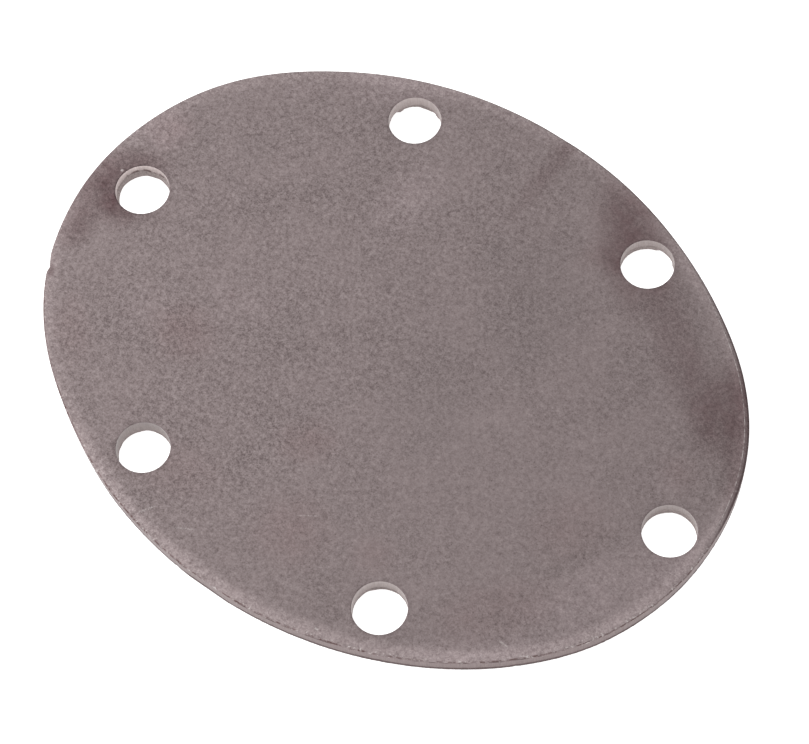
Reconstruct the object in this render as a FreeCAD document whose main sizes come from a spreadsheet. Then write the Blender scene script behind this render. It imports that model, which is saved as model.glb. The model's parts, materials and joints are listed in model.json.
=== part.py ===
# Oval blind flange: one flat steel plate, blanked and pierced from sheet, with six bolt holes.
# Millimetres. X runs along the oval's long axis and Y across it. Z = 0 is the flat sealing face.
# The origin is the middle of the outline on that face, and +Z is the outside of the plate.
import FreeCAD, Part

import os

import Sketcher

POINT_TOLERANCE = 1e-6
AXIS_POINT = (-1, 1)
CIRCLE_CENTRE = 3

DRIVING_SIZES = {
    "plate_length": 151.0,
    "plate_width": 120.5,
    "plate_thickness": 4.0,
    "hole_diameter": 11.0,
    "end_hole_spacing": 131.6,
    "side_hole_spacing": 58.6,
    "side_row_spacing": 91.2,
    "pattern_shift_x": 1.4,
    "pattern_shift_y": 0.6,
    "rim_roll_width": 1.2,
    "rim_roll_depth": 0.25,
    "rim_break_height": 1.6,
    "rim_break_inset": 0.12,
    "hole_roll_size": 0.25,
    "hole_break_height": 1.4,
    "hole_break_flare": 0.12,
}


def make_sheet(doc):
    """The spreadsheet that drives every size, one named cell per row."""
    sheet = doc.addObject("Spreadsheet::Sheet", "Sizes")
    for row, (name, value) in enumerate(DRIVING_SIZES.items(), start=1):
        sheet.set(f"A{row}", name)
        sheet.set(f"B{row}", str(value))
        sheet.setAlias(f"B{row}", name)
    doc.recompute()
    return sheet


def origin_plane(body, role):
    for feature in body.Origin.OriginFeatures:
        if feature.Role == role:
            return feature
    raise RuntimeError(f"{body.Label} has no {role}")


def new_sketch(body, name):
    sketch = body.newObject("Sketcher::SketchObject", name)
    sketch.AttachmentSupport = (origin_plane(body, "XY_Plane"), [""])
    sketch.MapMode = "FlatFace"
    return sketch


def drive(sketch, constraint, name, expression):
    """Adds a dimension to a sketch and binds it to the sheet."""
    index = sketch.addConstraint(constraint)
    sketch.renameConstraint(index, name)
    sketch.setExpression(f"Constraints.{name}", expression)


def draw_outline(body):
    """The oval outline: an ellipse about the origin, sized by its two diameters."""
    sketch = new_sketch(body, "Outline")
    half_length = DRIVING_SIZES["plate_length"] / 2
    half_width = DRIVING_SIZES["plate_width"] / 2
    long_end = FreeCAD.Vector(half_length, 0, 0)
    wide_end = FreeCAD.Vector(0, half_width, 0)
    ellipse = sketch.addGeometry(Part.Ellipse(long_end, wide_end, FreeCAD.Vector(0, 0, 0)), False)
    sketch.exposeInternalGeometry(ellipse)
    long_axis = ellipse + 1
    wide_axis = ellipse + 2
    sketch.addConstraint(Sketcher.Constraint("Coincident", ellipse, CIRCLE_CENTRE, *AXIS_POINT))
    sketch.addConstraint(Sketcher.Constraint("Horizontal", long_axis))
    drive(
        sketch,
        Sketcher.Constraint("Distance", long_axis, 2 * half_length),
        "long_diameter",
        "Sizes.plate_length",
    )
    drive(
        sketch,
        Sketcher.Constraint("Distance", wide_axis, 2 * half_width),
        "wide_diameter",
        "Sizes.plate_width",
    )
    return sketch


def hole_places():
    """Each hole's name with its two places as sheet expressions: two end holes and four side holes."""
    end_x = "Sizes.end_hole_spacing / 2"
    side_x = "Sizes.side_hole_spacing / 2"
    side_y = "Sizes.side_row_spacing / 2"
    shift_x = "Sizes.pattern_shift_x"
    shift_y = "Sizes.pattern_shift_y"
    return {
        "end_plus": (f"{shift_x} + {end_x}", shift_y),
        "end_minus": (f"{shift_x} - {end_x}", shift_y),
        "side_plus_plus": (f"{shift_x} + {side_x}", f"{shift_y} + {side_y}"),
        "side_minus_plus": (f"{shift_x} - {side_x}", f"{shift_y} + {side_y}"),
        "side_plus_minus": (f"{shift_x} + {side_x}", f"{shift_y} - {side_y}"),
        "side_minus_minus": (f"{shift_x} - {side_x}", f"{shift_y} - {side_y}"),
    }


def draw_holes(body, sheet):
    """Six equal circles, each dimensioned from the origin."""
    sketch = new_sketch(body, "BoltHoles")
    start_radius = DRIVING_SIZES["hole_diameter"] / 2
    for name, (x_words, y_words) in hole_places().items():
        x = sheet.evalExpression(x_words)
        y = sheet.evalExpression(y_words)
        centre = FreeCAD.Vector(x, y, 0)
        circle = sketch.addGeometry(Part.Circle(centre, FreeCAD.Vector(0, 0, 1), start_radius), False)
        drive(
            sketch,
            Sketcher.Constraint("DistanceX", *AXIS_POINT, circle, CIRCLE_CENTRE, x),
            f"{name}_x",
            x_words,
        )
        drive(
            sketch,
            Sketcher.Constraint("DistanceY", *AXIS_POINT, circle, CIRCLE_CENTRE, y),
            f"{name}_y",
            y_words,
        )
        drive(
            sketch,
            Sketcher.Constraint("Diameter", circle, 2 * start_radius),
            f"{name}_diameter",
            "Sizes.hole_diameter",
        )
    return sketch


def flat_edges(shape, curve_kind, height):
    """The names of the edges of one curve kind that lie flat at one height."""
    names = []
    for number, edge in enumerate(shape.Edges, start=1):
        lies_flat = edge.BoundBox.ZLength < POINT_TOLERANCE
        at_height = abs(edge.BoundBox.ZMin - height) < POINT_TOLERANCE
        if isinstance(edge.Curve, curve_kind) and lies_flat and at_height:
            names.append(f"Edge{number}")
    return names


def blank_plate(body):
    """The blank: the outline padded upward from the sealing face to the sheet's thickness."""
    pad = body.newObject("PartDesign::Pad", "Blank")
    pad.Profile = (draw_outline(body), [""])
    pad.setExpression("Length", "Sizes.plate_thickness")
    body.Document.recompute()
    return pad


def pierce_holes(body, sheet):
    """The six bolt holes, cut right through the blank from the sealing face upward."""
    pocket = body.newObject("PartDesign::Pocket", "BoltHoleCut")
    pocket.Profile = (draw_holes(body, sheet), [""])
    pocket.Type = "ThroughAll"
    pocket.Reversed = True
    body.Document.recompute()
    return pocket


def slope_edges(body, base, name, curve_kind, height, sizes):
    """A sloped edge: sizes are the sheet's names for its inset across the face and its drop along the wall."""
    inset, drop = sizes
    slope = body.newObject("PartDesign::Chamfer", name)
    slope.Base = (base, flat_edges(base.Shape, curve_kind, height))
    slope.ChamferType = "Two distances"
    slope.FlipDirection = True
    slope.setExpression("Size", f"Sizes.{inset}")
    slope.setExpression("Size2", f"Sizes.{drop}")
    body.Document.recompute()
    return slope


def make_flange_plate(doc, sheet):
    """The whole plate. Shearing rolls its outer-face edges over and leaves a slight taper by the other face."""
    body = doc.addObject("PartDesign::Body", "FlangePlate")
    body.Label = "flange_plate"
    thickness = sheet.plate_thickness
    blank = blank_plate(body)
    pierced = pierce_holes(body, sheet)
    rim_rolled = slope_edges(
        body, pierced, "RimRoll", Part.Ellipse, thickness, ("rim_roll_width", "rim_roll_depth")
    )
    rim_broken = slope_edges(
        body, rim_rolled, "RimBreak", Part.Ellipse, 0, ("rim_break_inset", "rim_break_height")
    )
    holes_rolled = slope_edges(
        body, rim_broken, "HoleRoll", Part.Circle, thickness, ("hole_roll_size", "hole_roll_size")
    )
    holes_broken = slope_edges(
        body, holes_rolled, "HoleBreak", Part.Circle, 0, ("hole_break_flare", "hole_break_height")
    )
    body.Placement = FreeCAD.Placement()
    check_cuts([blank, pierced, rim_rolled, rim_broken, holes_rolled, holes_broken])
    return body


def check_cuts(steps):
    """Every step after the blank has to take some metal away."""
    for before, after in zip(steps, steps[1:]):
        removed = before.Shape.Volume - after.Shape.Volume
        print(f"{after.Label}: {removed:.1f} mm3 removed")
        if removed <= 0:
            raise RuntimeError(f"{after.Label} removes nothing")


def check_document(doc, bodies):
    for item in doc.Objects:
        if "Invalid" in item.State or "Error" in item.State:
            raise RuntimeError(f"{item.Label} failed: {item.State}")
    for body in bodies:
        if body.Shape.isNull() or not body.Shape.isValid():
            raise RuntimeError(f"{body.Label} has no valid shape")


def main():
    doc = FreeCAD.newDocument("BlindFlange")
    sheet = make_sheet(doc)
    bodies = [make_flange_plate(doc, sheet)]
    doc.recompute()
    check_document(doc, bodies)
    os.makedirs("parts", exist_ok=True)
    for body in bodies:
        body.Shape.exportStep(f"parts/{body.Label}.step")
        box = body.Shape.optimalBoundingBox(False)
        print(f"{body.Label}: {box.XLength:.2f} x {box.YLength:.2f} x {box.ZLength:.2f} mm")


main()
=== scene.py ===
import json
import math

import bpy
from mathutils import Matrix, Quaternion, Vector, geometry, noise


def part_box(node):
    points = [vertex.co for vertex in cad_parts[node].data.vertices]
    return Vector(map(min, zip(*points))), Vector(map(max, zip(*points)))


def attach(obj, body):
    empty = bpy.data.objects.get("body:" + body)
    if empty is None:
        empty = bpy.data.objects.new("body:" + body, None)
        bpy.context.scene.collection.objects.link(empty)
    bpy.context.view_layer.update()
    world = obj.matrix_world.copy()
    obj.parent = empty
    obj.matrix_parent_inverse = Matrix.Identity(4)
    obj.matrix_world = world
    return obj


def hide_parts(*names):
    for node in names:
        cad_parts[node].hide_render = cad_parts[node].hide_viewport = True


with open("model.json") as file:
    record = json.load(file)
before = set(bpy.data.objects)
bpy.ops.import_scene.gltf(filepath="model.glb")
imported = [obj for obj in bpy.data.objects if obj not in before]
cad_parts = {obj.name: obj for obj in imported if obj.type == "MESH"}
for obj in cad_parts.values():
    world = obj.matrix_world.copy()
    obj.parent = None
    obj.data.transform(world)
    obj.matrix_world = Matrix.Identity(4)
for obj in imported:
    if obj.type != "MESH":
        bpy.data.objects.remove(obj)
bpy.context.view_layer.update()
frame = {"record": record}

mm = 0.001  # the plate is drawn in millimetres and scaled by this at the end
print("frame loaded")


# Sizes that the frame gives: the oval, the sheet and the bolt holes
low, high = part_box("flange_plate")
halfLength = (high.x - low.x) / 2 / mm
halfWidth = (high.y - low.y) / 2 / mm
thickness = (high.z - low.z) / mm
mounts = {mount["name"]: mount for mount in frame["record"]["mounts"]}
holeRadius = mounts["end_bolts"]["dims"]["hole_r_mm"]


def boltCentres():  # the hole at the minus-X end first, then clockwise
    middleX, middleY, _ = [place / mm for place in mounts["side_bolts"]["pos_m"]]
    ends = mounts["end_bolts"]["dims"]["spacing_x_mm"] / 2
    along = mounts["side_bolts"]["dims"]["spacing_x_mm"] / 2
    across = mounts["side_bolts"]["dims"]["spacing_y_mm"] / 2
    steps = [(-ends, 0), (-along, across), (along, across), (ends, 0), (along, -across), (-along, -across)]
    return [(middleX + x, middleY + y) for x, y in steps]


boltHoles = boltCentres()
bendTurn = math.radians(80)  # a sheared edge rolls down this far before its wall begins
seedShift = (31.7, -12.3, 5.1)  # how far apart the noise of one seed is from the next


def ease(start, end, value):  # 0 at start, 1 at end, smooth between
    part = min(max((value - start) / (end - start), 0), 1)
    return part * part * (3 - 2 * part)


def wander(x, y, z, size, seed=0):  # smooth noise from -1 to 1 with bumps of about this size
    return noise.noise(Vector([place / size + shift * seed for place, shift in zip((x, y, z), seedShift)]))


def apart(angle, heading):  # degrees between an angle in radians and a heading in degrees
    return abs((math.degrees(angle) - heading + 180) % 360 - 180)


def evenShares(count):  # from 0 to 1 in this many steps
    return [step / count for step in range(count + 1)]


def around(centre, radius, angle):
    return centre[0] + radius * math.cos(angle), centre[1] + radius * math.sin(angle)


# The flat of the plate, in mm
face = {
    "lattice": 1.05,  # size of the triangles on the outer face
    "backLattice": 3.0,
    "latticeGap": 0.55,  # how clear they stay of the rim and holes, in triangles
    "ripple": 0.035,  # slow unevenness of the rolled sheet
    "rippleSize": 17,
    "tumble": 0.012,  # shallow tumbling marks
    "tumbleSize": 2.6,
}

# Small dents in the face: place, radius and depth in mm
dents = [
    {"x": 53.9, "y": -36.9, "radius": 2.2, "depth": 0.10},
    {"x": 23.6, "y": -55.2, "radius": 1.0, "depth": 0.12},
    {"x": -18.5, "y": -54.6, "radius": 1.6, "depth": 0.05},
    {"x": -70.4, "y": 4.2, "radius": 0.9, "depth": 0.08},
]


def faceSag(x, y):  # how far the face lies under its own flat plane
    slow = 0.5 + 0.5 * wander(x, y, 0, face["rippleSize"])
    marks = 0.5 + 0.5 * wander(x, y, 3, face["tumbleSize"])
    sag = face["ripple"] * slow + face["tumble"] * marks
    for dent in dents:
        away = math.hypot(x - dent["x"], y - dent["y"]) / dent["radius"]
        if away < 1:
            sag += dent["depth"] * (1 - away * away) ** 2
    return sag


# The mesh is gathered here: places, what each place looks like, and faces with their finishes
places = []
torn = []  # 0 burnished, 1 torn; in the holes the burnished band also darkens toward its foot
line = []  # 1 on the broken line between a bend and its wall
crest = []  # 1 on the upper edge of a crisp bevel, where a highlight is painted, -1 on its slope, where shade is painted
faces = []
finishes = []
faceFinish, rimFinish, holeFinish, backFinish = range(4)


def addRow(row):  # each entry: x, y, z, torn, line, crest
    start = len(places)
    for x, y, z, tornHere, lineHere, crestHere in row:
        places.append((x, y, z))
        torn.append(tornHere)
        line.append(lineHere)
        crest.append(crestHere)
    return list(range(start, len(places)))


def joinRows(upper, lower, finish, outward):
    count = len(upper)
    for number in range(count):
        after = (number + 1) % count
        quad = [upper[number], lower[number], lower[after], upper[after]]
        faces.append(quad if outward else quad[::-1])
        finishes.append(finish)


def joinAll(rows, finish, outward):
    for upper, lower in zip(rows, rows[1:]):
        joinRows(upper, lower, finish, outward)


# Sheared rim of the oval, in mm: change these for a heavier or lighter blanking mark
rim = {
    "steps": 1440,  # points around the oval
    "boxGap": 0.005,  # no bulge comes closer to the sheet's own box than this
    "guard": 0.2,  # flat strip that keeps the bend's marks off the face
    "rollRows": 9,
    "grooveInset": 0.03,
    "grooveDepth": 0.1,  # broken line between the bend and the wall
    "grooveDash": 2.1,
    "grooveRows": [(0.07, 1), (0.26, 1), (0.4, 0)],  # drop under the bend, share of the line
    "wallTop": 0.5,  # where the wall proper starts, under the bend
    "wallFoot": 0.03,  # and where it stops, over the underside
    "wallRows": 16,
    "burnishDepth": 2.85,  # smooth sheared band, measured down from the face
    "burnishWave": 0.35,
    "burnishNick": 0.12,
    "tearInset": 0.04,  # the torn band leans in this far by the underside
    "tearRough": 0.04,
    "streak": 0.006,
    "footInset": 0.45,  # where the underside starts, in from the deepest knock
    "knockCurve": 1.2,
}

# How the face bends down to the rim, in mm. "crisp" is 0 for a soft bend and 1 for a flat bevel. "groove" is
# how strong the broken line under it is, with fewer gaps over 1. Angles are in degrees round the oval. The
# die was slack in the first stretch, and the punch dragged in the last one.
plainRim = {"width": 0.4, "drop": 0.08, "crisp": 0, "groove": 0.15}
rimStretches = [
    {"middle": -95, "sweep": 68, "width": 2.0, "drop": 0.14, "crisp": 0, "groove": 1},
    {"middle": -10, "sweep": 18, "width": 1.0, "drop": 0.14, "crisp": 0, "groove": 1.2},
    {"middle": 72, "sweep": 26, "width": 0.5, "drop": 0.2, "crisp": 0.6, "groove": 0.15},
    {"middle": 29, "sweep": 25, "width": 0.95, "drop": 0.55, "crisp": 1, "groove": 0.5},
]
stretchFade = 9  # degrees either side of a stretch's end in which it gives way to its neighbour

# Where the oval bulges or falls short of its true line: middle and half sweep in degrees, height in mm
rimBulges = [
    {"middle": -151, "sweep": 20, "height": 0.32},
    {"middle": -125, "sweep": 16, "height": -0.34},
    {"middle": -88, "sweep": 32, "height": 0.17},
    {"middle": -52, "sweep": 18, "height": -0.08},
    {"middle": -27, "sweep": 14, "height": 0.18},
    {"middle": 25, "sweep": 26, "height": 0.62},
    {"middle": 59, "sweep": 23, "height": -0.46},
    {"middle": 108, "sweep": 32, "height": 0.17},
    {"middle": 149, "sweep": 24, "height": 0.56},
]

# Knocks in the rim: angle round the oval in degrees, run up to the knock, run after it and depth in mm
rimKnocks = [
    {"angle": -155.9, "before": 3.2, "after": 1.2, "depth": 0.45},
    {"angle": -39.5, "before": 1.2, "after": 1.0, "depth": 0.06},
    {"angle": -96.0, "before": 0.8, "after": 0.9, "depth": 0.10},
]


def unevenAt(angle):
    height = 0
    for bulge in rimBulges:
        away = apart(angle, bulge["middle"]) / bulge["sweep"]
        if away < 1:
            height += bulge["height"] * (0.5 + 0.5 * math.cos(math.pi * away))
    return height


def rimPoint(angle, inset):  # on the curve that runs this far inside the oval
    inset = inset - unevenAt(angle)
    outX = halfWidth * math.cos(angle)
    outY = halfLength * math.sin(angle)
    size = math.hypot(outX, outY)
    x = halfLength * math.cos(angle) - inset * outX / size
    y = halfWidth * math.sin(angle) - inset * outY / size
    limitX = halfLength - rim["boxGap"]
    limitY = halfWidth - rim["boxGap"]
    return min(max(x, -limitX), limitX), min(max(y, -limitY), limitY)


def rimAngle(x, y):
    return math.atan2(y / halfWidth, x / halfLength)


def rimDepth(x, y):  # distance in from the rim, true within a few mm of it
    grow = max(math.hypot(x / halfLength, y / halfWidth), 1e-6)
    slope = math.hypot(x / halfLength ** 2, y / halfWidth ** 2) / grow
    return (1 - grow) / max(slope, 1e-6) + unevenAt(rimAngle(x, y))


def rimShape(angle):
    shape = dict(plainRim)
    for stretch in rimStretches:
        sweep = stretch["sweep"]
        share = ease(sweep + stretchFade, sweep - stretchFade, apart(angle, stretch["middle"]))
        for name in shape:
            shape[name] += (stretch[name] - shape[name]) * share
    return shape


def knockInset(angle):
    inset = 0
    for knock in rimKnocks:
        centre = math.radians(knock["angle"])
        speed = math.hypot(halfLength * math.sin(centre), halfWidth * math.cos(centre))
        away = ((angle - centre + math.pi) % (2 * math.pi) - math.pi) * speed
        reach = knock["before"] if away < 0 else knock["after"]
        inset += knock["depth"] * max(0, 1 - abs(away) / reach) ** rim["knockCurve"]
    return inset


def guardWidth(angle):
    return rimShape(angle)["width"] + rim["guard"]


def footInset(angle):  # the underside starts this far in, clear of every knock
    return rim["footInset"] + max(knock["depth"] for knock in rimKnocks)


def guardRow(shapes):  # a flat row just inside the bend
    row = []
    for angle, shape in shapes:
        x, y = rimPoint(angle, shape["width"] + rim["guard"])
        row.append((x, y, thickness - faceSag(x, y), 0, 0, 0))
    return addRow(row)


def rollRow(shapes, share):  # one row of the bend: 0 at the flat face, 1 at the wall
    row = []
    turn = bendTurn * share
    for angle, shape in shapes:
        crisp = shape["crisp"]
        out = (1 - crisp) * math.sin(turn) / math.sin(bendTurn) + crisp * share
        down = (1 - crisp) * (1 - math.cos(turn)) / (1 - math.cos(bendTurn)) + crisp * share
        inset = shape["width"] * (1 - out)
        x, y = rimPoint(angle, inset + knockInset(angle) * out)
        sag = faceSag(x, y) * (1 - 0.9 * share)
        lineHere = shape["groove"] * ease(0.6, 0.9, share)
        crestHere = crisp * (1 - 5 * share if share < 0.2 else -ease(0.35, 0.75, share))
        row.append((x, y, thickness - sag - shape["drop"] * down, 0, lineHere, crestHere))
    return addRow(row)


def grooveRow(shapes, drop, lineShare):
    row = []
    for angle, shape in shapes:
        x, y = rimPoint(angle, 0)
        dash = shape["groove"] * ease(0.0, 0.2, wander(x, y, 0, rim["grooveDash"], seed=2))
        x, y = rimPoint(angle, rim["grooveInset"] + rim["grooveDepth"] * dash + knockInset(angle))
        row.append((x, y, thickness - shape["drop"] - drop, 0, lineShare * shape["groove"], 0))
    return addRow(row)


def wallRow(shapes, share):  # one row of the sheared wall, burnished above and torn below
    row = []
    for angle, shape in shapes:
        x, y = rimPoint(angle, 0)
        top = shape["drop"] + rim["wallTop"]
        depth = top + (thickness - rim["wallFoot"] - top) * share
        wave = rim["burnishWave"] * wander(x, y, 0, 7, seed=4)
        nick = rim["burnishNick"] * wander(x, y, 0, 0.9, seed=5)
        start = rim["burnishDepth"] + wave + nick
        tear = ease(start - 0.08, start + 0.1, depth)
        lean = rim["tearInset"] * max(0, depth - start) / (thickness - start)
        rough = rim["tearRough"] * (0.5 + wander(x, y, depth, 0.5, seed=6))
        streak = rim["streak"] * wander(x * 3, y * 3, depth / 4, 1, seed=8)
        inset = tear * (lean + rough) + streak + rim["streak"] + knockInset(angle)
        x, y = rimPoint(angle, inset)
        row.append((x, y, thickness - depth, tear, 0, 0))
    return addRow(row)


def buildRim():
    angles = [2 * math.pi * step / rim["steps"] for step in range(rim["steps"])]
    shapes = [(angle, rimShape(angle)) for angle in angles]
    rolled = [guardRow(shapes)]
    rolled += [rollRow(shapes, share) for share in evenShares(rim["rollRows"])]
    groove = [grooveRow(shapes, drop, lineShare) for drop, lineShare in rim["grooveRows"]]
    walls = [wallRow(shapes, share) for share in evenShares(rim["wallRows"])]
    foot = addRow([(*rimPoint(angle, footInset(angle)), 0, 0, 0, 0) for angle in angles])
    joinAll(rolled, faceFinish, True)
    joinRows(rolled[-1], groove[0], faceFinish, True)
    joinAll(groove + walls, rimFinish, True)
    joinRows(walls[-1], foot, backFinish, True)
    return rolled[0], foot


# Pierced holes, in mm: change these for cleaner or rougher punching
hole = {
    "steps": 132,  # points around each hole
    "collar": 0.85,  # ring of even faces around each hole
    "rollRows": 5,
    "wallRows": 20,
    "burnishWave": 0.45,
    "burnishNick": 0.15,
    "tearStep": 0.02,  # the torn band stands back from the smooth one by this
    "tearFlare": 0.05,
    "tearRough": 0.05,
    "streak": 0.006,
    "seamWidth": 0.5,
    "lipHeight": 0.8,
    "lipRagged": 2.2,  # size of the waves in the lip
    "footWidth": 0.8,
}

# Each hole in turn, the minus-X end first and then clockwise: how far it is over size, the width and drop of
# its rolled edge, the depth of its smooth band, how much it narrows downward, how plain the seam under the
# band is (a line of painted shade), how bright the band is and how far the torn lip hangs in. The tongues are
# where the lip reaches in, or has broken back: heading and half sweep in degrees, then the reach in mm.
holeEdges = [
    {"grow": 0.14, "roll": 0.35, "drop": 0.2, "burnish": 2.0, "taper": 0.3, "seam": 1.2, "sheen": 1.7,
     "lip": 0.2, "tongues": []},
    {"grow": 0, "roll": 0.25, "drop": 0.12, "burnish": 3.2, "taper": 0, "seam": 0.5, "sheen": 1.25,
     "lip": 0.06, "tongues": [(187, 20, -0.55), (160, 7, 0.16), (100, 14, 0.22), (70, 6, 0.16)]},
    {"grow": -0.02, "roll": 0.2, "drop": 0.1, "burnish": 2.5, "taper": 0, "seam": 0.6, "sheen": 1.08,
     "lip": 0.1, "tongues": [(80, 22, -0.5)]},
    {"grow": 0, "roll": 0.25, "drop": 0.1, "burnish": 2.5, "taper": 0, "seam": 0.45, "sheen": 1.0,
     "lip": 0.2, "tongues": []},
    {"grow": 0, "roll": 0.25, "drop": 0.1, "burnish": 3.0, "taper": 0, "seam": 0.2, "sheen": 1.2,
     "lip": 0.16, "tongues": [(120, 25, 0.1)]},
    {"grow": -0.03, "roll": 0.2, "drop": 0.1, "burnish": 3.4, "taper": 0.05, "seam": 0.2, "sheen": 0.88,
     "lip": 0.25, "tongues": []},
]


def holeRow(number, makePoint):
    row = []
    for step in range(hole["steps"]):
        angle = 2 * math.pi * step / hole["steps"]
        radius, z, tear, seam = makePoint(angle, boltHoles[number])
        row.append((*around(boltHoles[number], radius, angle), z, tear, seam, 0))
    return addRow(row)


def holeCollarPoint(angle, centre):
    radius = holeRadius + hole["collar"]
    return radius, thickness - faceSag(*around(centre, radius, angle)), 0, 0


def holeRollPoint(number, share):
    turn = bendTurn * share
    edge = holeEdges[number]

    def point(angle, centre):
        radius = holeRadius + edge["grow"] + edge["roll"] * (1 - math.sin(turn))
        sag = faceSag(*around(centre, radius, angle)) * (1 - share)
        return radius, thickness - sag - edge["drop"] * (1 - math.cos(turn)), 0, 0
    return point


def lipReach(number, angle):  # how far the torn lip hangs into the hole in this direction
    x, y = around(boltHoles[number], holeRadius, angle)
    uneven = 0.5 + 0.5 * wander(x, y, 0, hole["lipRagged"], seed=13)
    reach = holeEdges[number]["lip"] * uneven
    for heading, sweep, length in holeEdges[number]["tongues"]:
        reach += length * ease(1.25 * sweep, 0.6 * sweep, apart(angle, heading))
    return reach


def holeWallPoint(number, share):
    edge = holeEdges[number]
    depth = edge["drop"] + (thickness - edge["drop"]) * share
    lipShare = ease(thickness - hole["lipHeight"], thickness - 0.1, depth)

    def point(angle, centre):
        x, y = around(centre, holeRadius, angle)
        wave = hole["burnishWave"] * wander(x, y, 0, 3.5, seed=9)
        nick = hole["burnishNick"] * wander(x, y, 0, 0.8, seed=10)
        start = edge["burnish"] + wave + nick
        tear = ease(start - 0.08, start + 0.08, depth)
        flare = hole["tearFlare"] * max(0, depth - start) / (thickness - start)
        rough = hole["tearRough"] * wander(x, y, depth, 0.6, seed=11)
        streak = hole["streak"] * wander(x * 3, y * 3, depth / 4, 1, seed=12)
        radius = holeRadius + edge["grow"] + tear * (flare + hole["tearStep"] + rough) + streak
        radius -= lipReach(number, angle) * lipShare + edge["taper"] * ease(1, thickness - 0.5, depth)
        # mixes toward the torn colour: half way by the foot of the burnished band, wholly in the torn band
        darkening = max(tear, 0.5 * ease(0, start, depth))
        seam = edge["seam"] * max(0, 1 - abs(depth - start) / hole["seamWidth"])
        return radius, thickness - depth, darkening, seam
    return point


def holeFootPoint(angle, centre):
    return holeRadius + hole["footWidth"], 0, 0, 0


def buildHole(number):
    collar = holeRow(number, holeCollarPoint)
    rolled = [holeRow(number, holeRollPoint(number, share)) for share in evenShares(hole["rollRows"])]
    walls = [holeRow(number, holeWallPoint(number, share)) for share in evenShares(hole["wallRows"])]
    foot = holeRow(number, holeFootPoint)
    joinAll([collar] + rolled, faceFinish, False)
    joinRows(rolled[-1], walls[0], holeFinish, False)
    joinAll(walls, holeFinish, False)
    joinRows(walls[-1], foot, backFinish, False)
    return collar, foot


def latticePoints(step, rimClearAt, holeClear):  # even triangles over the plate, clear of rim and holes
    found = []
    rowHeight = step * math.sqrt(3) / 2
    rowCount = int(halfWidth / rowHeight) + 1
    columnCount = int(halfLength / step) + 1
    for row in range(-rowCount, rowCount + 1):
        for column in range(-columnCount, columnCount + 1):
            x = (column + 0.5 * (row % 2)) * step
            y = row * rowHeight
            onPlate = rimDepth(x, y) > rimClearAt(rimAngle(x, y)) + face["latticeGap"] * step
            if onPlate and all(math.hypot(x - holeX, y - holeY) > holeClear for holeX, holeY in boltHoles):
                found.append((x, y))
    return found


def fillFace(outerRow, rimInsetAt, holeRows, holeReach, step, heightAt, finish, faceUp):
    rows = [outerRow] + holeRows
    known = [number for row in rows for number in row]
    inner = latticePoints(step, rimInsetAt, holeReach + face["latticeGap"] * step)
    known += addRow([(x, y, heightAt(x, y), 0, 0, 0) for x, y in inner])
    edges = []
    start = 0
    for row in rows:
        count = len(row)
        edges += [(start + number, start + (number + 1) % count) for number in range(count)]
        start += count
    flat = [Vector(places[number][:2]) for number in known]
    corners, _, triangles, sources, _, _ = geometry.delaunay_2d_cdt(flat, edges, [], 1, 1e-7)
    insideHole = holeReach * 0.995
    for triangle in triangles:
        middle = sum((corners[corner] for corner in triangle), Vector((0, 0))) / 3
        if any((middle - Vector(centre)).length < insideHole for centre in boltHoles):
            continue
        first, second, third = [corners[corner] for corner in triangle]
        turnsLeft = (second - first).cross(third - first) > 0
        numbers = [known[sources[corner][0]] for corner in triangle]
        faces.append(numbers if turnsLeft == faceUp else numbers[::-1])
        finishes.append(finish)


# The rim is rubbed paler and carries a painted highlight of its rolled edge in this stretch: angles in
# degrees, and how far in from the rim the rub and highlight fade, in mm
rubAndHighlight = {"middle": -57, "sweep": 67, "fade": 12, "least": 0.5, "from": 1.0, "to": 3.7}

# The finish is evener toward plus X: where that starts and where it is complete, in mm
calmer = {"from": -25, "to": 30}

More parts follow.
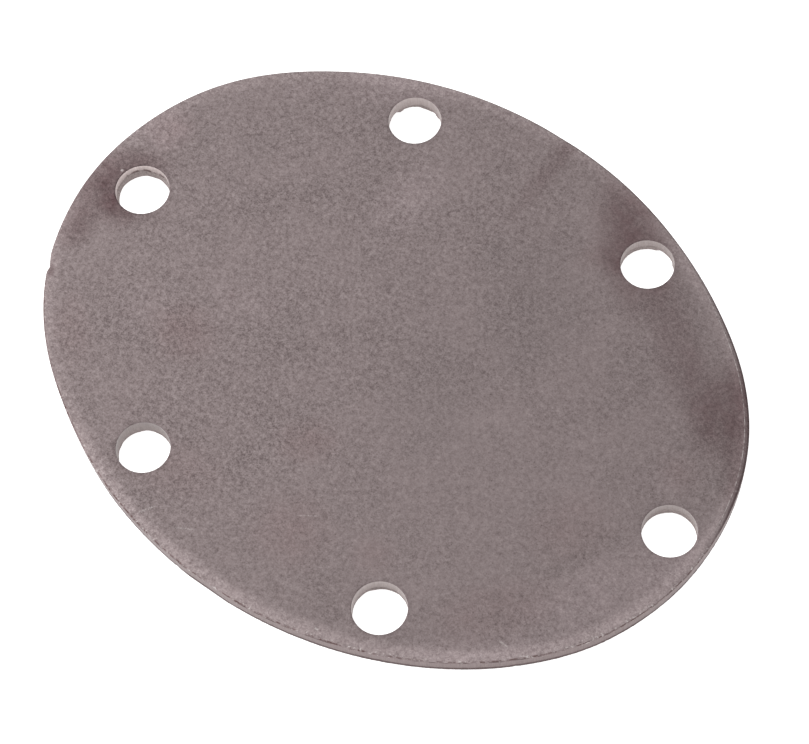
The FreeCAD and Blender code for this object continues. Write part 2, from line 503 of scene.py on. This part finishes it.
# Uneven colour of the face, as gains on the steel. Each place gives x, y, half length and half width in mm,
# turn in degrees and strength.
spots = {
    "stain": {
        "tint": (0.41, 0.27, 0.29),
        "places": [
            (25, 49, 22, 9, -49, 0.6), (44, 36, 22, 6, -48, 0.3), (56, 28, 18, 5, -50, 0.25),
            (67, 37, 22, 13, 74, 0.8), (78, 12, 22, 5, -44, 0.5), (24, 43, 5, 4, 0, 0.25),
            (-71, 2, 13, 6, 37, 0.55), (-67, -5, 8, 5, -38, 0.4), (-70, -14, 7, 5, -83, 0.4),
            (-74, -7, 21, 6, 15, 0.4), (-68, -25, 2, 1, 114, 0.5), (2, 57, 22, 3, 89, 0.3),
            (-34, -8, 1, 1, 0, 0.3),
        ],
    },
    "warm": {
        "tint": (0.96, 0.90, 0.90),
        "places": [
            (-37, -20, 9, 8, 0, 0.9), (-21, -45, 15, 8, 16, 0.5), (-2, -25, 8, 6, 35, 0.8),
            (7, -42, 11, 10, 25, 0.7), (49, -33, 16, 8, 52, 0.6), (51, -10, 11, 9, 64, 0.5),
            (62, 12, 6, 5, 0, 0.5), (20, 41, 5, 4, 100, 0.4), (23, -37, 6, 5, 25, 0.5),
            (-56, -33, 11, 5, -46, 0.5), (-68, 15, 7, 6, 66, 0.5),
        ],
    },
    # paler places: uneven tone, and the large ones toward plus X and minus Y are painted light
    "paleAndLit": {
        "tint": (1.18, 1.18, 1.19),
        "places": [
            (-69, 14, 7, 6, 66, 1.0), (-18, 31, 14, 8, 90, 0.7), (-52, 38, 8, 3, 38, 0.4),
            (-12, 62, 10, 3, 0, 0.5), (31, 47, 8, 2, -23, 0.3), (37, 51, 7, 2, -30, 0.5),
            (-47, -19, 8, 7, 35, 0.3), (-30, -7, 11, 8, 12, 0.3), (60, 8, 6, 4, 15, 0.35),
            (63, -19, 24, 9, 66, 0.9), (51, -43, 20, 7, 38, 0.6), (71, -4, 12, 4, 82, 1.0),
            (-36, 50, 14, 6, 25, 0.9),
        ],
    },
    "shade": {
        "tint": (0.85, 0.86, 0.86),
        "places": [
            (17, 26, 22, 14, -77, 0.45), (12, -3, 22, 14, -52, 0.35), (4, 31, 8, 4, 84, 0.4),
            (-51, 21, 6, 6, 24, 0.4), (-21, -6, 5, 5, 0, 0.2),
        ],
    },
}


def spotShare(spot, x, y):
    total = 0
    for spotX, spotY, length, width, turn, strength in spots[spot]["places"]:
        if abs(x - spotX) < length + width and abs(y - spotY) < length + width:
            slope = math.radians(turn)
            along = ((x - spotX) * math.cos(slope) + (y - spotY) * math.sin(slope)) / length
            across = ((y - spotY) * math.cos(slope) - (x - spotX) * math.sin(slope)) / width
            total += strength * max(0, 1 - along * along - across * across) ** 1.5
    return min(total, 1)


def wearAndHighlightShare(angle):  # how much the rim is rubbed and given a painted highlight at this angle
    sweep, fade = rubAndHighlight["sweep"], rubAndHighlight["fade"]
    share = ease(sweep + fade, sweep - fade, apart(angle, rubAndHighlight["middle"]))
    return rubAndHighlight["least"] + (1 - rubAndHighlight["least"]) * share


def nearestHole(x, y):  # its number, and how far outside it the place is
    gaps = [math.hypot(x - holeX, y - holeY) for holeX, holeY in boltHoles]
    return gaps.index(min(gaps)), min(gaps) - holeRadius


def writeMarks(mesh):  # what the finishes read at each point
    nearest = [nearestHole(x, y) for x, y, _ in places]
    marks = {
        "torn": torn,
        "line": line,
        "crest": crest,
        "rimDepth": [rimDepth(x, y) for x, y, _ in places],
        "holeGap": [gap for _, gap in nearest],
        "wearAndHighlight": [wearAndHighlightShare(rimAngle(x, y)) for x, y, _ in places],
        "calm": [ease(calmer["from"], calmer["to"], x) for x, _, _ in places],
        "sheen": [holeEdges[number]["sheen"] for number, _ in nearest],
    }
    for spot in spots:
        marks[spot] = [spotShare(spot, x, y) for x, y, _ in places]
    for name, values in marks.items():
        attribute = mesh.attributes.new(name, "FLOAT", "POINT")
        attribute.data.foreach_set("value", values)


def buildPlate():
    rimTop, rimFoot = buildRim()
    print("rim drawn")
    holeTops, holeFeet = zip(*[buildHole(number) for number in range(len(boltHoles))])
    print("holes drawn")

    def faceHeight(x, y):
        return thickness - faceSag(x, y)

    def backHeight(x, y):
        return 0

    collarReach = holeRadius + hole["collar"]
    footReach = holeRadius + hole["footWidth"]
    frontStep, backStep = face["lattice"], face["backLattice"]
    fillFace(rimTop, guardWidth, list(holeTops), collarReach, frontStep, faceHeight, faceFinish, True)
    fillFace(rimFoot, footInset, list(holeFeet), footReach, backStep, backHeight, backFinish, False)
    print("faces filled")

    mesh = bpy.data.meshes.new("flangePlate")
    middle = Vector(((low.x + high.x) / 2, (low.y + high.y) / 2, low.z))
    mesh.from_pydata([middle + Vector(place) * mm for place in places], [], faces)
    mesh.polygons.foreach_set("material_index", finishes)
    writeMarks(mesh)
    mesh.shade_smooth()
    mesh.set_sharp_from_angle(angle=math.radians(28))
    mesh.validate()
    plate = bpy.data.objects.new("flangePlate", mesh)
    bpy.context.scene.collection.objects.link(plate)
    return plate


def startFinish(name):
    material = bpy.data.materials.new(name)
    material.use_nodes = True
    tree = material.node_tree
    tree.nodes.clear()
    output = tree.nodes.new("ShaderNodeOutputMaterial")
    shader = tree.nodes.new("ShaderNodeBsdfPrincipled")
    tree.links.new(shader.outputs["BSDF"], output.inputs["Surface"])
    return material, tree, shader


def plug(tree, socket, value):
    if isinstance(value, bpy.types.NodeSocket):
        tree.links.new(value, socket)
    elif value is not None:
        socket.default_value = value


def millimetres(tree, stretch=(1, 1, 1)):  # the piece's own coordinates, in mm
    source = tree.nodes.new("ShaderNodeTexCoord")
    scale = tree.nodes.new("ShaderNodeVectorMath")
    scale.operation = "MULTIPLY"
    tree.links.new(source.outputs["Object"], scale.inputs[0])
    scale.inputs[1].default_value = [part / mm for part in stretch]
    return scale.outputs["Vector"]


def splitPlace(tree, where):
    split = tree.nodes.new("ShaderNodeSeparateXYZ")
    tree.links.new(where, split.inputs[0])
    return split.outputs["X"], split.outputs["Y"], split.outputs["Z"]


def grain(tree, where, size, detail, rough, warp=0.0):  # noise with grains of about this size in mm
    node = tree.nodes.new("ShaderNodeTexNoise")
    tree.links.new(where, node.inputs["Vector"])
    node.inputs["Scale"].default_value = 1 / size
    node.inputs["Detail"].default_value = detail
    node.inputs["Roughness"].default_value = rough
    node.inputs["Distortion"].default_value = warp
    return node.outputs["Fac"]


def between(tree, value, start, end, first=0.0, last=1.0, soft=False):  # first at start, last at end
    node = tree.nodes.new("ShaderNodeMapRange")
    node.interpolation_type = "SMOOTHSTEP" if soft else "LINEAR"
    plug(tree, node.inputs["Value"], value)
    node.inputs["From Min"].default_value = start
    node.inputs["From Max"].default_value = end
    node.inputs["To Min"].default_value = first
    node.inputs["To Max"].default_value = last
    return node.outputs["Result"]


def calc(tree, operation, first, second=None):
    node = tree.nodes.new("ShaderNodeMath")
    node.operation = operation
    plug(tree, node.inputs[0], first)
    plug(tree, node.inputs[1], second)
    return node.outputs["Value"]


def times(tree, first, second):
    return calc(tree, "MULTIPLY", first, second)


def asColour(value):
    return (*value, 1) if isinstance(value, tuple) else value


def blend(tree, share, first, second, mode="MIX"):
    node = tree.nodes.new("ShaderNodeMix")
    node.data_type = "RGBA"
    node.blend_type = mode
    plug(tree, node.inputs["Factor"], share)
    plug(tree, node.inputs["A"], asColour(first))
    plug(tree, node.inputs["B"], asColour(second))
    return node.outputs["Result"]


def gain(tree, share, colour, factor):  # multiplies the colour by the factor where share is 1
    return blend(tree, share, colour, factor, "MULTIPLY")


def mark(tree, name):
    node = tree.nodes.new("ShaderNodeAttribute")
    node.attribute_name = name
    return node.outputs["Fac"]


def emboss(tree, shader, height):  # the finish's own grain, 0.02 mm deep
    bump = tree.nodes.new("ShaderNodeBump")
    bump.inputs["Strength"].default_value = 0.6
    bump.inputs["Distance"].default_value = 0.02 * mm
    plug(tree, bump.inputs["Height"], height)
    tree.links.new(bump.outputs["Normal"], shader.inputs["Normal"])


# Tumbled mild steel of the face: change colours here
steel = {
    "dark": (0.130, 0.0995, 0.0998),
    "light": (0.268, 0.2235, 0.223),
    "pit": (0.085, 0.062, 0.062),
    "wearAndHighlight": (1.4, 1.42, 1.42),  # the rubbed rim with its painted highlight, as a gain on the colour under it
    "holeRing": (0.66, 0.62, 0.63),  # the shade close to each hole, also a gain
    # pale colour of the scratches, also used for the painted glints and the painted highlight on the bevel's
    # crest
    "paleMark": (0.52, 0.48, 0.47),
    "grooveShade": (0.105, 0.060, 0.057),  # painted shade in the broken line under the bend
    "slope": (0.070, 0.045, 0.046),  # painted shade on the crisp bevel, which faces away from the light
    "mottle": 0.95,  # sizes in mm
    "fine": 0.34,
    "pitSize": 0.5,
    "fray": 2.4,
    "patch": 15,
    "metal": 0.82,
    "smooth": 0.52,
    "coarse": 0.72,
}

# Scratches on the face: place, half length, half width in mm, turn in degrees
scratches = [
    {"x": -19, "y": -55, "long": 2.2, "wide": 0.3, "turn": 60, "strength": 0.4},
    {"x": -10.5, "y": -54, "long": 2.4, "wide": 0.28, "turn": 30, "strength": 0.35},
    {"x": 8, "y": -37.5, "long": 3.0, "wide": 0.25, "turn": 35, "strength": 0.2},
    {"x": 54.6, "y": -37.1, "long": 1.4, "wide": 0.3, "turn": -3, "strength": 0.35},
    {"x": 59.2, "y": -36.9, "long": 1.3, "wide": 0.28, "turn": 21, "strength": 0.5},
    {"x": 23.4, "y": -55.5, "long": 0.5, "wide": 0.3, "turn": 10, "strength": 0.9},
    {"x": -70.7, "y": 1.7, "long": 0.35, "wide": 0.4, "turn": 0, "strength": 0.7},
]


def scratchShare(tree, where, paleMark, broken):
    node = tree.nodes.new("ShaderNodeMapping")  # puts the scratch's middle at 0 and its ends at 1
    node.vector_type = "TEXTURE"
    tree.links.new(where, node.inputs["Vector"])
    node.inputs["Location"].default_value = (paleMark["x"], paleMark["y"], thickness)
    node.inputs["Rotation"].default_value = (0, 0, math.radians(paleMark["turn"]))
    node.inputs["Scale"].default_value = (paleMark["long"], paleMark["wide"], paleMark["long"])
    lengthwise, crosswise, _ = splitPlace(tree, node.outputs["Vector"])
    along = between(tree, calc(tree, "ABSOLUTE", lengthwise), 0.5, 1, 1, 0, soft=True)
    across = between(tree, calc(tree, "ABSOLUTE", crosswise), 0.3, 1, 1, 0, soft=True)
    return times(tree, times(tree, times(tree, along, across), broken), paleMark["strength"])


def ragged(tree, name, fray):  # a mark with its edge broken up
    share = times(tree, mark(tree, name), between(tree, fray, 0.3, 0.7, 0.7, 1.3))
    return calc(tree, "MINIMUM", share, 1.0)


def rimMarks(tree, where, colour):  # painted shade in the broken line, painted glints beside it, a painted highlight on the bevel's crest and painted shade on its slope
    # dark dashes in the broken line under the bend and in the seams of the holes: painted shade of the groove
    fade = between(tree, grain(tree, where, 9, 2, 0.6), 0.4, 0.6, 0.55, 1)
    dashes = between(tree, grain(tree, where, 1.3, 3, 0.65), 0.44, 0.55)
    dashes = calc(tree, "MAXIMUM", dashes, between(tree, mark(tree, "line"), 1.0, 1.4))
    grooveShadeShare = times(tree, between(tree, mark(tree, "line"), 0.25, 0.7), times(tree, dashes, fade))
    colour = blend(tree, grooveShadeShare, colour, steel["grooveShade"])

    _, _, height = splitPlace(tree, where)
    nearTop = between(tree, height, thickness - 0.9, thickness - 0.4)
    nearEdge = times(tree, between(tree, mark(tree, "rimDepth"), 0.35, 0.9, 1, 0), nearTop)
    # pale specks painted near the top edge of the rim: painted glints
    specks = between(tree, grain(tree, where, 0.55, 1, 0.4), 0.63, 0.7)
    glints = times(tree, times(tree, nearEdge, specks), times(tree, mark(tree, "wearAndHighlight"), fade))
    colour = blend(tree, times(tree, glints, 0.8), colour, steel["paleMark"])

    # the crisp bevel's slope is painted dark: painted shade, as it faces away from the light
    slope = between(tree, mark(tree, "crest"), -0.9, -0.1, 0.75, 0)
    colour = blend(tree, slope, colour, steel["slope"])
    # a broken pale line painted along the bevel's crest: a painted highlight
    crestHighlight = between(tree, grain(tree, where, 0.9, 2, 0.6), 0.4, 0.6, 0.08, 0.65)
    crestLine = between(tree, mark(tree, "crest"), 0.4, 0.8)
    return blend(tree, times(tree, crestLine, crestHighlight), colour, steel["paleMark"])


def usedFace(tree, where, colour, fine):  # stains, rubbed rim with its painted highlight, painted shade round the holes and scratches of the outer face
    fray = grain(tree, where, steel["fray"], 4, 0.65)
    colour = gain(tree, 1.0, colour, between(tree, fray, 0.3, 0.7, 0.96, 1.04))
    for spot in spots:
        colour = gain(tree, ragged(tree, spot, fray), colour, spots[spot]["tint"])
    # a paler band painted along the rim: rubbed wear and a painted highlight of the rolled edge
    edge = calc(tree, "ADD", mark(tree, "rimDepth"), between(tree, fray, 0.3, 0.7, -0.7, 0.7))
    rubHighlight = between(tree, edge, rubAndHighlight["from"], rubAndHighlight["to"], 1, 0, soft=True)
    colour = gain(tree, times(tree, rubHighlight, mark(tree, "wearAndHighlight")), colour, steel["wearAndHighlight"])
    ring = between(tree, mark(tree, "holeGap"), 0.15, 0.8, 0.3, 0, soft=True)
    colour = gain(tree, ring, colour, steel["holeRing"])
    broken = between(tree, fine, 0.35, 0.6)
    for paleMark in scratches:
        colour = blend(tree, scratchShare(tree, where, paleMark, broken), colour, steel["paleMark"])
    return rimMarks(tree, where, colour)


def steelFace(name, used):
    material, tree, shader = startFinish(name)
    where = millimetres(tree)
    mottle = grain(tree, where, steel["mottle"], 4, 0.72, 0.3)
    fine = grain(tree, where, steel["fine"], 3, 0.7)
    patch = grain(tree, where, steel["patch"], 4, 0.6, 0.5)
    both = calc(tree, "ADD", times(tree, mottle, 0.5), times(tree, fine, 0.5))
    if used:
        calm = times(tree, mark(tree, "calm"), 0.25)
        calm = calc(tree, "ADD", calm, between(tree, patch, 0.35, 0.65, -0.18, 0.18))
        both = calc(tree, "ADD", both, times(tree, calc(tree, "SUBTRACT", 0.5, both), calm))
    colour = blend(tree, between(tree, both, 0.355, 0.645), steel["dark"], steel["light"])
    pits = between(tree, grain(tree, where, steel["pitSize"], 2, 0.5), 0.645, 0.72, 0, 0.55, soft=True)
    colour = blend(tree, pits, colour, steel["pit"])
    colour = gain(tree, 1.0, colour, between(tree, patch, 0.3, 0.7, 0.925, 1.065))
    if used:
        colour = usedFace(tree, where, colour, fine)
    plug(tree, shader.inputs["Base Color"], colour)
    shader.inputs["Metallic"].default_value = steel["metal"]
    plug(tree, shader.inputs["Roughness"], between(tree, both, 0.3, 0.7, steel["coarse"], steel["smooth"]))
    emboss(tree, shader, both)
    return material


# Cut edges: colours of the burnished and torn bands, and how rough each one is
rimCut = {
    "ownSheen": False,  # whether each hole's own sheen brightens the burnished band
    "burnished": (0.225, 0.174, 0.173),
    "streaked": (0.165, 0.124, 0.123),
    "torn": (0.100, 0.068, 0.068),
    "chipped": (0.165, 0.124, 0.123),
    "metal": 0.85,
    "smooth": 0.5,
    "coarse": 0.8,
}
holeCut = {
    "ownSheen": True,
    "burnished": (0.34, 0.295, 0.288),
    "streaked": (0.25, 0.21, 0.205),
    "torn": (0.26, 0.22, 0.214),
    "chipped": (0.44, 0.382, 0.372),
    "metal": 0.85,
    "smooth": 0.45,
    "coarse": 0.8,
}


def shearedSteel(name, cut):
    material, tree, shader = startFinish(name)
    where = millimetres(tree)
    streak = grain(tree, millimetres(tree, (5, 5, 0.35)), 1, 2, 0.6)  # drawn out down the wall
    chip = grain(tree, where, 0.4, 3, 0.65)
    tear = mark(tree, "torn")
    bright = blend(tree, between(tree, streak, 0.3, 0.7), cut["burnished"], cut["streaked"])
    if cut["ownSheen"]:
        bright = gain(tree, 1.0, bright, mark(tree, "sheen"))
    rough = blend(tree, between(tree, chip, 0.3, 0.7), cut["torn"], cut["chipped"])
    colour = rimMarks(tree, where, blend(tree, tear, bright, rough))
    plug(tree, shader.inputs["Base Color"], colour)
    shader.inputs["Metallic"].default_value = cut["metal"]
    plug(tree, shader.inputs["Roughness"], between(tree, tear, 0, 1, cut["smooth"], cut["coarse"]))
    emboss(tree, shader, calc(tree, "ADD", streak, times(tree, chip, tear)))
    return material


plate = buildPlate()
plate.data.materials.append(steelFace("tumbledFace", True))
plate.data.materials.append(shearedSteel("shearedRim", rimCut))
plate.data.materials.append(shearedSteel("piercedWall", holeCut))
plate.data.materials.append(steelFace("sealingFace", False))
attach(plate, "root")
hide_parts("flange_plate")
print("plate finished:", len(plate.data.vertices), "points")


# The studio, in metres and degrees
studio = {
    "floorSize": 6.0,
    "floorDrop": 0.0001,  # the floor lies this far under the plate
    "floorColour": (0.9, 0.9, 0.9, 1),
    "floorRough": 0.9,
    "floorGlow": 0.72,  # the floor is a lit table, so it stays pale under the holes
    "white": (1, 1, 1, 1),
    "skyStrength": 0.85,
}

keyLight = {
    "fromLeft": 125,  # left of the camera
    "elevation": 48,
    "distance": 1.1,
    "size": 1.1,
    "power": 9.0,
}

camera = {
    "azimuth": 41.8,
    "elevation": 64.66,
    "roll": -5.94,
    "distance": 0.6036,
    "lens": 134.2,
    "sensor": 36,
    "clip": (0.01, 20),
    "aim": (4.77, -1.70, 4.0),  # mm, on the plate's face
}


def direction(azimuth, elevation):
    turn, lift = math.radians(azimuth), math.radians(elevation)
    return Vector((math.sin(turn) * math.cos(lift), -math.cos(turn) * math.cos(lift), math.sin(lift)))


def buildFloor():
    half, depth = studio["floorSize"] / 2, -studio["floorDrop"]
    corners = [(-half, -half, depth), (half, -half, depth), (half, half, depth), (-half, half, depth)]
    mesh = bpy.data.meshes.new("floor")
    mesh.from_pydata(corners, [], [(0, 1, 2, 3)])
    floor = bpy.data.objects.new("floor", mesh)
    bpy.context.scene.collection.objects.link(floor)
    material, _, shader = startFinish("paleFloor")
    shader.inputs["Base Color"].default_value = studio["floorColour"]
    shader.inputs["Roughness"].default_value = studio["floorRough"]
    shader.inputs["Emission Color"].default_value = studio["white"]
    shader.inputs["Emission Strength"].default_value = studio["floorGlow"]
    floor.data.materials.append(material)


def buildSky():  # an even white tent
    world = bpy.data.worlds.new("studio")
    bpy.context.scene.world = world
    world.use_nodes = True
    background = world.node_tree.nodes["Background"]
    background.inputs["Color"].default_value = studio["white"]
    background.inputs["Strength"].default_value = studio["skyStrength"]


def buildKeyLight():
    data = bpy.data.lights.new("keyLeft", "AREA")
    data.shape = "RECTANGLE"
    data.size = data.size_y = keyLight["size"]
    data.energy = keyLight["power"]
    lamp = bpy.data.objects.new("keyLeft", data)
    back = direction(camera["azimuth"] - keyLight["fromLeft"], keyLight["elevation"])
    lamp.location = back * keyLight["distance"]
    lamp.rotation_mode = "QUATERNION"
    lamp.rotation_quaternion = (-back).to_track_quat("-Z", "Y")
    bpy.context.scene.collection.objects.link(lamp)


def buildCamera():
    data = bpy.data.cameras.new("camera")
    data.lens = camera["lens"]
    data.sensor_width = camera["sensor"]
    data.clip_start, data.clip_end = camera["clip"]
    eye = bpy.data.objects.new("camera", data)
    back = direction(camera["azimuth"], camera["elevation"])
    eye.location = Vector(camera["aim"]) * mm + back * camera["distance"]
    eye.rotation_mode = "QUATERNION"
    upright = (-back).to_track_quat("-Z", "Y")
    eye.rotation_quaternion = upright @ Quaternion((0, 0, 1), math.radians(camera["roll"]))
    bpy.context.scene.collection.objects.link(eye)
    bpy.context.scene.camera = eye


buildFloor()
buildSky()
buildKeyLight()
buildCamera()
bpy.context.scene.view_settings.view_transform = "Standard"
print("stage set")
